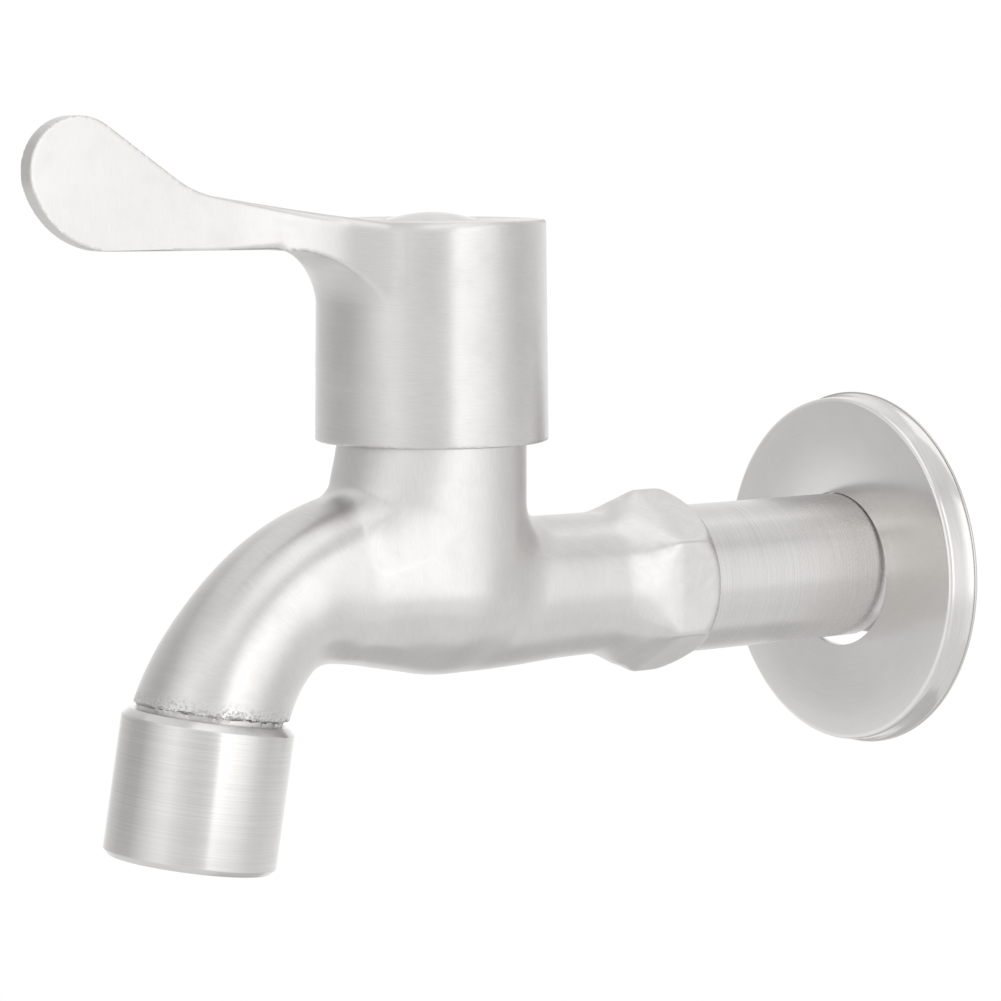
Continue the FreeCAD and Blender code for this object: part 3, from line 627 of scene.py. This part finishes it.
def makeTube():
    # plain tube, relief groove, then a helical thread drawn as a height over the cylinder
    t = tube
    low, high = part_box("inlet_tube")
    start, end = low.y / mm, high.y / mm
    inner = castingEnd + handleY
    rows = [(t["socketR"], start), (t["socketR"], inner), (t["r"] - t["edge"], inner),
            (t["r"], inner + t["edge"])]
    rows += [(t["r"] - depth, y) for depth, y in t["groove"]]
    rows += [(t["r"], y) for y in np.arange(t["threadFrom"], end - 0.02, t["step"])]
    rows += [(t["r"] - 1.0, end), (t["boreR"] + t["boreEdge"], end), (t["boreR"], end - t["boreEdge"]),
             (t["boreR"], start)]
    points, faces = turnedMesh(rows, t["segments"])
    x, y, along = points.T
    across = np.hypot(x, y)
    turn = np.arctan2(y, x)
    phase = (along / t["pitch"] - turn / (2 * math.pi)) % 1.0
    slopes = 1 - 2 * t["crestFlat"]
    crest = np.clip(1 - 2 * np.abs(phase - 0.5) - t["crestFlat"], 0, slopes) / slopes
    depth = t["deep"] * (1 - crest) * ramp(along, t["threadFrom"], t["threadFrom"] + t["growth"])
    lead = np.maximum(0, along - (end - t["leadOut"]))
    lead = lead + np.maximum(0, t["threadFrom"] + t["leadIn"] - along)
    onThread = (along > t["threadFrom"] - 0.01) & (along < end - 0.01) & (across > t["r"] - 0.55)
    radius = t["r"] - t["under"] - np.maximum(depth, lead)
    points[:, :2] *= np.where(onThread, radius / np.maximum(across, 1e-6), 1.0)[:, None]
    moved = movedBy(alongY, points)
    piece = addPiece("inlet_tube_threaded", moved, faces, "tap", "inlet_tube", 30)
    x, y, z = moved.T
    storeStrokes(piece, unit(np.stack([z, np.zeros_like(x), -x], 1)), y, y)
    return piece


tubePiece = makeTube()

button = {"r": 6.3, "edge": 0.2, "seat": 50.2, "top": 52.2, "dome": 1.0, "rings": 24, "soften": 0.0,
          "segments": 128}


def makeButton():
    b = button
    sphereR = (b["r"] ** 2 + b["dome"] ** 2) / (2 * b["dome"])
    reach = math.asin(b["r"] / sphereR)
    crown = [(sphereR * math.sin(a), b["top"] + b["dome"] - sphereR * (1 - math.cos(a)))
             for a in [reach * k / b["rings"] for k in range(b["rings"], 0, -1)]]
    profile = [(0.0, b["seat"]), (b["r"] - b["edge"], b["seat"]), (b["r"], b["seat"] + b["edge"])]
    profile += crown + [(0.0, b["top"] + b["dome"])]
    place = Matrix.Translation((0, handleY, 0))
    return placeTurned("index_button_domed", profile, b, place, "lever", "index_button")


buttonPiece = makeButton()

screens = {"r": 9.4, "gap": 0.15, "wire": 0.11, "sides": 6, "pitch": 0.6, "low": 1.35, "high": 2.1,
           "turn": 45}


def makeScreens():
    # two discs of woven wire, each wire passing over and under the ones across it
    s = screens
    sides = s["sides"]
    count = int(s["r"] / s["pitch"]) - 1
    points, faces = [], []
    for level, turn in ((s["low"], 0.0), (s["high"], math.radians(s["turn"]))):
        cosine, sine = math.cos(turn), math.sin(turn)
        for crossing in (0, 1):
            for k in range(-count, count + 1):
                offset = k * s["pitch"]
                reach = math.sqrt((s["r"] - s["gap"]) ** 2 - offset ** 2)
                steps = max(4, int(2 * reach / (s["pitch"] / 2)))
                first = len(points)
                for i in range(steps + 1):
                    along = -reach + 2 * reach * i / steps
                    wave = math.cos(math.pi * (along / s["pitch"] + k + crossing)) * s["wire"]
                    for q in range(sides):
                        a = 2 * math.pi * q / sides
                        sideways = offset + s["wire"] * math.cos(a)
                        height = level + wave + s["wire"] * math.sin(a)
                        u, v = (along, sideways) if crossing == 0 else (sideways, along)
                        points.append((u * cosine - v * sine, u * sine + v * cosine, height))
                last = first + steps * sides
                wire = [list(range(first, first + sides)), list(range(last, last + sides))[::-1]]
                for i in range(steps):
                    for q in range(sides):
                        a, b = (first + i * sides + n for n in (q, (q + 1) % sides))
                        wire.append([a, a + sides, b + sides, b])
                faces += [face[:1] + face[:0:-1] for face in wire] if crossing else wire
    return addPiece("aerator_woven_screens", movedBy(outletPlace, points), faces, "tap",
                    "aerator_screens", 60)


screensPiece = makeScreens()
print("pieces made")


# Materials

def feed(tree, sockets, values):
    # each socket gets a link or a constant
    for socket, value in zip(sockets, values):
        if isinstance(value, bpy.types.NodeSocket):
            tree.links.new(value, socket)
        elif value is not None:
            socket.default_value = value


def feedNode(tree, node, **values):
    feed(tree, [node.inputs[label.replace("_", " ")] for label in values], values.values())


def addNode(tree, kind, settings=None, **values):
    node = tree.nodes.new(kind)
    for key, value in (settings or {}).items():
        setattr(node, key, value)
    feedNode(tree, node, **values)
    return node


def mathNode(tree, operation, a, b=None, c=None, clamp=False):
    node = addNode(tree, "ShaderNodeMath", {"operation": operation, "use_clamp": clamp})
    feed(tree, node.inputs, (a, b, c))
    return node.outputs[0]


def vectorNode(tree, operation, a, b=None, scale=None):
    node = addNode(tree, "ShaderNodeVectorMath", {"operation": operation})
    feed(tree, node.inputs, (a, b, None, scale))
    return node.outputs[0]


def mix(tree, kind, share, a, b):
    # between two numbers (kind VALUE) or two colours (kind RGBA)
    node = addNode(tree, "ShaderNodeMix", {"data_type": "FLOAT" if kind == "VALUE" else kind})
    feed(tree, [node.inputs[0]] + [s for s in node.inputs[1:] if s.type == kind], (share, a, b))
    return next(s for s in node.outputs if s.type == kind)


def noise(tree, point, scale, detail, **values):
    return addNode(tree, "ShaderNodeTexNoise", Vector=point, Scale=scale, Detail=detail,
                   **values).outputs["Fac"]


def spread(tree, value, low, high, lowResult=0.0, highResult=1.0):
    # one result at 'low', the other at 'high', smooth between
    smooth = {"interpolation_type": "SMOOTHSTEP"}
    return addNode(tree, "ShaderNodeMapRange", smooth, Value=value, From_Min=low, From_Max=high,
                   To_Min=lowResult, To_Max=highResult).outputs["Result"]


def placeInMm(tree):
    place = addNode(tree, "ShaderNodeTexCoord").outputs["Object"]
    return vectorNode(tree, "SCALE", place, scale=1 / mm)


def addBump(tree, shader, height):
    bump = addNode(tree, "ShaderNodeBump", Height=height, Strength=1.0, Distance=mm)
    feedNode(tree, shader, Normal=bump.outputs["Normal"])


def newGroup(name, inputs, outputs):
    # the inputs come with their values; all sockets are numbers
    group = bpy.data.node_groups.new(name, "ShaderNodeTree")
    for label, value in inputs.items():
        socket = group.interface.new_socket(label, in_out="INPUT", socket_type="NodeSocketFloat")
        socket.default_value = value
    for label in outputs:
        group.interface.new_socket(label, in_out="OUTPUT", socket_type="NodeSocketFloat")
    return group, group.nodes.new("NodeGroupInput").outputs, group.nodes.new("NodeGroupOutput")


def placeGroup(tree, group, **values):
    return addNode(tree, "ShaderNodeGroup", {"node_tree": group}, **values).outputs


brush = {"driftScale": 0.22, "driftMost": 6.0, "detail": 3.0, "roughness": 0.65,
         "scratchScale": 0.55, "scratchFrom": (0.66, 0.74)}


def makeBrushGroup():
    # fine strokes: noise drawn out along the stroke. 'Across' counts mm square to it
    inputs = {"Across": 0.0, "Spacing": 0.2, "Length": 4.0, "Wander": 0.3}
    group, given, result = newGroup("brushStrokes", inputs, ["Streak", "Scratch"])
    inMm = placeInMm(group)
    length = addNode(group, "ShaderNodeCombineXYZ", X=given["Length"], Y=given["Length"], Z=given["Length"])
    slow = vectorNode(group, "DIVIDE", inMm, length.outputs[0])
    wander = mathNode(group, "MULTIPLY", given["Wander"], brush["driftMost"])
    drift = noise(group, inMm, brush["driftScale"], 1.0)
    bent = mathNode(group, "MULTIPLY_ADD", drift, wander, given["Across"])
    fast = addNode(group, "ShaderNodeCombineXYZ", X=mathNode(group, "DIVIDE", bent, given["Spacing"]))
    point = vectorNode(group, "ADD", slow, fast.outputs[0])
    rare = noise(group, vectorNode(group, "SCALE", point, scale=brush["scratchScale"]), 1.0, 1.0)
    strokes = noise(group, point, 1.0, brush["detail"], Roughness=brush["roughness"])
    feedNode(group, result, Streak=strokes, Scratch=spread(group, rare, *brush["scratchFrom"]))
    return group


hand = {"detail": 2.0, "smudgeScale": 0.35, "smudgeDetail": 4.0, "smudgeBend": 0.6,
        "smudgeFrom": (0.45, 0.72)}


def makeHandlingGroup():
    # cloudy patches left by hand finishing, and faint smudges
    group, given, result = newGroup("handFinish", {"Patch Size": 9.0}, ["Patch", "Smudge"])
    inMm = placeInMm(group)
    size = mathNode(group, "DIVIDE", 1.0, given["Patch Size"])
    smudge = noise(group, inMm, hand["smudgeScale"], hand["smudgeDetail"], Roughness=0.6,
                   Distortion=hand["smudgeBend"])
    patch = noise(group, inMm, size, hand["detail"], Roughness=0.5)
    feedNode(group, result, Patch=patch, Smudge=spread(group, smudge, *hand["smudgeFrom"]))
    return group


def makePitGroup():
    # small casting pits, far apart
    group, given, result = newGroup("castingPits", {"Spacing": 5.0, "Pit Size": 0.05}, ["Pit"])
    cells = addNode(group, "ShaderNodeTexVoronoi", Vector=placeInMm(group),
                    Scale=mathNode(group, "DIVIDE", 1.0, given["Spacing"]))
    edge = mathNode(group, "MULTIPLY", given["Pit Size"], 1.6)
    feedNode(group, result, Pit=spread(group, cells.outputs["Distance"], given["Pit Size"], edge, 1.0, 0.0))
    return group


brushGroup = makeBrushGroup()
handGroup = makeHandlingGroup()
pitGroup = makePitGroup()


def newMaterial(name):
    material = bpy.data.materials.new(name)
    material.use_nodes = True
    tree = material.node_tree
    return material, tree, tree.nodes["Principled BSDF"]


def attribute(tree, name, output="Fac"):
    return addNode(tree, "ShaderNodeAttribute", {"attribute_name": name}).outputs[output]


# wear marks, and a pale grey for a painted sheen that lightens some faces' colour
wearAndSheen = {
    "pitDirt": 0.75, "pitDeep": -0.06, "dirt": (0.24, 0.23, 0.22, 1), "scratchDeep": -0.6,
    "chipScale": 2.2, "chipFrom": (0.5, 0.62), "chipDirt": 0.22, "chipRough": 0.15, "chipDeep": -0.05,
    "paintedSheen": (0.95, 0.93, 0.91, 1),
}


def steelMaterial(name, look):
    # brushed stainless steel; the strokes follow the directions stored on the mesh
    material, tree, shader = newMaterial(name)
    spaces = {"vector_type": "VECTOR", "convert_from": "OBJECT", "convert_to": "WORLD"}
    stroke = addNode(tree, "ShaderNodeVectorTransform", spaces, Vector=attribute(tree, "stroke", "Vector"))
    # highlights run square to the strokes
    feedNode(tree, shader, Metallic=1.0, Anisotropic=look["anisotropic"], Anisotropic_Rotation=0.25,
             Tangent=stroke.outputs[0])
    main, other = (
        placeGroup(tree, brushGroup, Across=attribute(tree, across), Spacing=look["spacing"],
                   Length=look["length"], Wander=look["wander"])
        for across in ("across", "acrossNeck")
    )
    share = attribute(tree, "neckShare")
    streak, scratch = (mix(tree, "VALUE", share, main[k], other[k]) for k in ("Streak", "Scratch"))
    byHand = placeGroup(tree, handGroup, Patch_Size=look["patch"])
    pit = placeGroup(tree, pitGroup, Spacing=look["pitSpacing"], Pit_Size=look["pitSize"])["Pit"]
    chips = noise(tree, placeInMm(tree), wearAndSheen["chipScale"], 3.0, Roughness=0.7)
    chips = mathNode(tree, "MULTIPLY", spread(tree, chips, *wearAndSheen["chipFrom"]), attribute(tree, "filed"))
    # colour: streaks and cloudy patches between two close greys, darker in pits and where it is filed
    tone = mathNode(tree, "MULTIPLY", streak, look["streakTone"])
    tone = mathNode(tree, "MULTIPLY_ADD", byHand["Patch"], 1 - look["streakTone"], tone)
    colour = mix(tree, "RGBA", spread(tree, tone, 0.3, 0.7), look["dark"], look["light"])
    dirt = mathNode(tree, "MAXIMUM", mathNode(tree, "MULTIPLY", pit, wearAndSheen["pitDirt"]),
                    mathNode(tree, "MULTIPLY", chips, wearAndSheen["chipDirt"]))
    colour = mix(tree, "RGBA", dirt, colour, wearAndSheen["dirt"])
    # painted sheen: where the share is set, the colour is lightened towards a pale grey
    if look["paintedSheenTone"]:
        paintedSheen = mathNode(tree, "MULTIPLY", share, look["paintedSheenTone"])
        colour = mix(tree, "RGBA", paintedSheen, colour, wearAndSheen["paintedSheen"])
    rough = look["rough"] - look["streakRough"] / 2
    rough = mathNode(tree, "MULTIPLY_ADD", streak, look["streakRough"], rough)
    rough = mathNode(tree, "MULTIPLY_ADD", byHand["Smudge"], look["smudgeRough"], rough)
    rough = mathNode(tree, "MULTIPLY_ADD", chips, wearAndSheen["chipRough"], rough, clamp=True)
    feedNode(tree, shader, Base_Color=colour, Roughness=rough)
    # relief, in mm
    height = mathNode(tree, "MULTIPLY", streak, look["strokeDeep"])
    for mask, deep in ((byHand["Patch"], look["wavy"]), (scratch, look["strokeDeep"] * wearAndSheen["scratchDeep"]),
                       (pit, wearAndSheen["pitDeep"]), (chips, wearAndSheen["chipDeep"])):
        height = mathNode(tree, "MULTIPLY_ADD", mask, deep, height)
    addBump(tree, shader, height)
    return material


steelLook = {
    "anisotropic": 0.85, "spacing": 0.13, "length": 1.6, "wander": 0.06, "patch": 9.0,
    "pitSpacing": 14.0, "pitSize": 0.012,
    "dark": (0.585, 0.573, 0.56, 1), "light": (0.655, 0.643, 0.63, 1), "streakTone": 0.6, "paintedSheenTone": 0.0,
    "rough": 0.34, "streakRough": 0.08, "smudgeRough": 0.04, "strokeDeep": 0.0022, "wavy": 0.0,
}
castLook = dict(steelLook, rough=0.31, wander=0.3, spacing=0.14, strokeDeep=0.0034, wavy=0.008,
                streakRough=0.06, anisotropic=0.75, pitSpacing=11.0)
handleLook = dict(steelLook, rough=0.36, wander=0.1, strokeDeep=0.003, pitSpacing=12.0, paintedSheenTone=0.24)
turnedLook = dict(steelLook, wander=0.0, length=14.0, spacing=0.12)
tubeLook = dict(turnedLook, rough=0.27, strokeDeep=0.0004, streakTone=0.95, smudgeRough=0.01,
                streakRough=0.03, dark=(0.575, 0.563, 0.55, 1), light=(0.645, 0.633, 0.62, 1))
collarLook = dict(turnedLook, rough=0.25, strokeDeep=0.001, streakTone=0.9, smudgeRough=0.02)
flangeLook = dict(steelLook, rough=0.19, anisotropic=0.35, wander=0.2, length=4.0, spacing=0.2,
                  strokeDeep=0.0006, streakRough=0.03, paintedSheenTone=0.5)


def coat(item, material):
    item.data.materials.clear()
    item.data.materials.append(material)


coat(castBody, steelMaterial("castSteel", castLook))
coat(leverPiece, steelMaterial("handleSteel", handleLook))
turnedSteel = steelMaterial("turnedSteel", collarLook)
coat(outletCollarPiece, turnedSteel)
coat(buttonPiece, turnedSteel)
coat(tubePiece, steelMaterial("tubeSteel", tubeLook))
coat(flangePiece, steelMaterial("flangeSteel", flangeLook))


def plainMaterial(name, look):
    # inner pieces: fine grain, cloudy tone and a soft wear pattern
    material, tree, shader = newMaterial(name)
    grain = noise(tree, placeInMm(tree), look["grain"], 4.0)
    patch = placeGroup(tree, handGroup, Patch_Size=look["patch"])["Patch"]
    tone = mathNode(tree, "MULTIPLY", mathNode(tree, "ADD", grain, patch), 0.5)
    colour = mix(tree, "RGBA", spread(tree, tone, 0.3, 0.7), look["dark"], look["light"])
    rough = mathNode(tree, "MULTIPLY_ADD", grain, 2 * innerRough, look["rough"] - innerRough)
    feedNode(tree, shader, Metallic=look["metal"], Base_Color=colour, Roughness=rough)
    addBump(tree, shader, mathNode(tree, "MULTIPLY", grain, look["deep"]))
    return material


innerRough = 0.08  # how far the roughness of an inner piece strays
innerLook = {"metal": 1.0, "grain": 4.0, "patch": 5.0, "rough": 0.3, "deep": 0.004}
innerLooks = {
    "brass": dict(innerLook, grain=3.0, patch=6.0, dark=(0.60, 0.44, 0.20, 1), light=(0.80, 0.63, 0.33, 1)),
    "screen_steel": dict(innerLook, deep=0.002, dark=(0.50, 0.50, 0.49, 1), light=(0.68, 0.67, 0.66, 1)),
    "turned_steel": dict(innerLook, deep=0.003, dark=(0.55, 0.54, 0.53, 1), light=(0.72, 0.71, 0.70, 1)),
    "ceramic_disc": dict(innerLook, metal=0.0, grain=6.0, rough=0.22, deep=0.001,
                         dark=(0.80, 0.79, 0.75, 1), light=(0.88, 0.87, 0.84, 1)),
    "seal_rubber": dict(innerLook, metal=0.0, grain=5.0, patch=4.0, rough=0.62, deep=0.01,
                        dark=(0.018, 0.018, 0.019, 1), light=(0.04, 0.04, 0.042, 1)),
    "aerator_plastic": dict(innerLook, metal=0.0, grain=3.0, rough=0.42,
                            dark=(0.66, 0.67, 0.67, 1), light=(0.78, 0.79, 0.79, 1)),
}
innerMaterials = {slot: plainMaterial("inner_" + slot, look) for slot, look in innerLooks.items()}
slots = {row["node"]: row["material_slot"] for row in frame["record"]["subparts"]}
for nodeName, node in nodes.items():
    if nodeName not in replaced:
        coat(node, innerMaterials[slots[nodeName]])
coat(screensPiece, innerMaterials["screen_steel"])
print("materials made")


# Stage: white floor and sky, a ring of unevenly lit cloth round the tap, a card below, a soft
# box above and the camera. x and y are counted from the handle's axis, in metres

stage = {"floorZ": -0.8, "floorSize": 12.0, "floorTone": 0.86, "floorRough": 0.9,
         "ringR": 1.0, "ringTop": 0.9, "ringSides": 96}
ringTones = {  # azimuth from +X in degrees: brightness of the cloth there, 1 is white
    -180: 0.83, -157: 0.72, -142: 0.61, -120: 0.62, -99: 0.97, -82: 1.26, -70: 1.34, -60: 1.16,
    -44: 0.98, -30: 0.95, -15: 1.14, -11: 2.05, 0: 1.85, 17: 1.62, 30: 1.38, 45: 1.0, 62: 0.81,
    98: 1.0, 130: 1.08, 148: 1.18, 165: 1.0, 180: 0.83,
}
mostTone = 2.2
softBox = {"x": 0.205, "y": 0.03, "height": 1.0, "turn": -49.4, "length": 1.5, "width": 0.48, "tone": 0.5}
cardBelow = {"x": [-0.7, 0.12], "y": [0.1, 0.85], "tone": 0.7}
clothLow = {"from": -0.1, "to": -0.35, "tone": 1.0, "share": 0.75}  # the ring fades to white lower down


def stageMesh(name, points, faces):
    mesh = bpy.data.meshes.new(name)
    mesh.from_pydata(points, [], faces)
    item = newObject(name, mesh)
    return item


def makeGlow(name, points, faces):
    # a glowing stage piece that the camera doesn't see: it only shows in the metal
    glow = stageMesh(name, [(x, y + handleY * mm, z) for x, y, z in points], faces)
    glow.visible_camera = False
    material, tree, shader = newMaterial(name)
    light = addNode(tree, "ShaderNodeEmission", Color=(1, 1, 1, 1))
    feedNode(tree, tree.nodes["Material Output"], Surface=light.outputs[0])
    coat(glow, material)
    return tree, light


def makeRing():
    sides, r = stage["ringSides"], stage["ringR"]
    turns = [2 * math.pi * k / sides for k in range(sides)]
    points = [(r * math.cos(t), r * math.sin(t), height)
              for height in (stage["floorZ"] + 0.01, stage["ringTop"]) for t in turns]
    faces = [(k, (k + 1) % sides, (k + 1) % sides + sides, k + sides) for k in range(sides)]
    tree, light = makeGlow("clothRing", points, faces)
    place = addNode(tree, "ShaderNodeTexCoord").outputs["Object"]
    place = vectorNode(tree, "SUBTRACT", place, (0, handleY * mm, 0))
    x, y, z = addNode(tree, "ShaderNodeSeparateXYZ", Vector=place).outputs
    turn = mathNode(tree, "ARCTAN2", y, x)
    share = mathNode(tree, "MULTIPLY_ADD", turn, 1 / (2 * math.pi), 0.5)
    tones = addNode(tree, "ShaderNodeValToRGB", Fac=share)
    stops = tones.color_ramp.elements
    for k, (azimuth, tone) in enumerate(ringTones.items()):
        spot = (azimuth + 180) / 360
        stop = stops[k] if k < 2 else stops.new(spot)
        stop.position = spot
        stop.color = (tone / mostTone,) * 3 + (1,)
    tone = mathNode(tree, "MULTIPLY", tones.outputs["Color"], mostTone)
    depth = mathNode(tree, "MULTIPLY", z, -1.0)
    low = spread(tree, depth, -clothLow["from"], -clothLow["to"])
    low = mathNode(tree, "MULTIPLY", low, clothLow["share"])
    feedNode(tree, light, Strength=mix(tree, "VALUE", low, tone, clothLow["tone"]))


def makeCardBelow():
    (x0, x1), (y0, y1) = cardBelow["x"], cardBelow["y"]
    points = [(x, y, stage["floorZ"] + 0.005) for x, y in ((x0, y0), (x1, y0), (x1, y1), (x0, y1))]
    tree, light = makeGlow("cardBelow", points, [(0, 1, 2, 3)])
    feedNode(tree, light, Strength=cardBelow["tone"])


def makeSoftBox():
    b = softBox
    lamp = bpy.data.lights.new("softBox", "AREA")
    lamp.shape = "RECTANGLE"
    lamp.size = b["length"]
    lamp.size_y = b["width"]
    # 'tone' is what a mirror shows on top of the sky
    lamp.energy = b["tone"] * math.pi * b["length"] * b["width"]
    item = newObject("softBox", lamp)
    item.location = (b["x"], b["y"] + handleY * mm, b["height"])
    item.rotation_euler = (0, 0, math.radians(b["turn"]))


def makeFloor():
    size, tone = stage["floorSize"], stage["floorTone"]
    corners = [(-size, -size), (size, -size), (size, size), (-size, size)]
    floor = stageMesh("floor", [(x, y, stage["floorZ"]) for x, y in corners], [(0, 1, 2, 3)])
    material, tree, shader = newMaterial("paleFloor")
    feedNode(tree, shader, Base_Color=(tone, tone, tone, 1), Roughness=stage["floorRough"])
    # seen by the camera or in the metal it is plain white
    rays = addNode(tree, "ShaderNodeLightPath").outputs
    seen = mathNode(tree, "MAXIMUM", rays["Is Camera Ray"], rays["Is Transmission Ray"])
    seen = mathNode(tree, "MAXIMUM", seen, rays["Is Glossy Ray"])
    white = addNode(tree, "ShaderNodeEmission", Color=(1, 1, 1, 1), Strength=1.0)
    join = addNode(tree, "ShaderNodeMixShader")
    feed(tree, join.inputs, (seen, shader.outputs[0], white.outputs[0]))
    feedNode(tree, tree.nodes["Material Output"], Surface=join.outputs[0])
    coat(floor, material)


def makeWorld():
    world = bpy.data.worlds.new("studio")
    bpy.context.scene.world = world
    world.use_nodes = True
    feedNode(world.node_tree, world.node_tree.nodes["Background"], Color=(1, 1, 1, 1), Strength=1.0)


view = {
    "azimuth": 54.96, "pitch": 6.122, "distance": 0.49054, "target": (0.005455, -0.068914, 0.013938),
    "focalPixels": 3595.7, "imageWidth": 1001, "sensor": 36.0, "near": 0.01, "far": 100.0,
}


def makeCamera():
    data = bpy.data.cameras.new("camera")
    data.sensor_width = view["sensor"]
    data.lens = view["focalPixels"] * view["sensor"] / view["imageWidth"]
    data.clip_start = view["near"]
    data.clip_end = view["far"]
    camera = newObject("camera", data)
    a, p = math.radians(view["azimuth"]), math.radians(view["pitch"])
    back = Vector((math.sin(a) * math.cos(p), -math.cos(a) * math.cos(p), math.sin(p)))
    camera.location = Vector(view["target"]) + back * view["distance"]
    camera.rotation_euler = (-back).to_track_quat("-Z", "Y").to_euler()
    bpy.context.scene.camera = camera


makeFloor()
makeWorld()
makeRing()
makeCardBelow()
makeSoftBox()
makeCamera()
bpy.context.scene.view_settings.view_transform = "Standard"

print("scene ready")
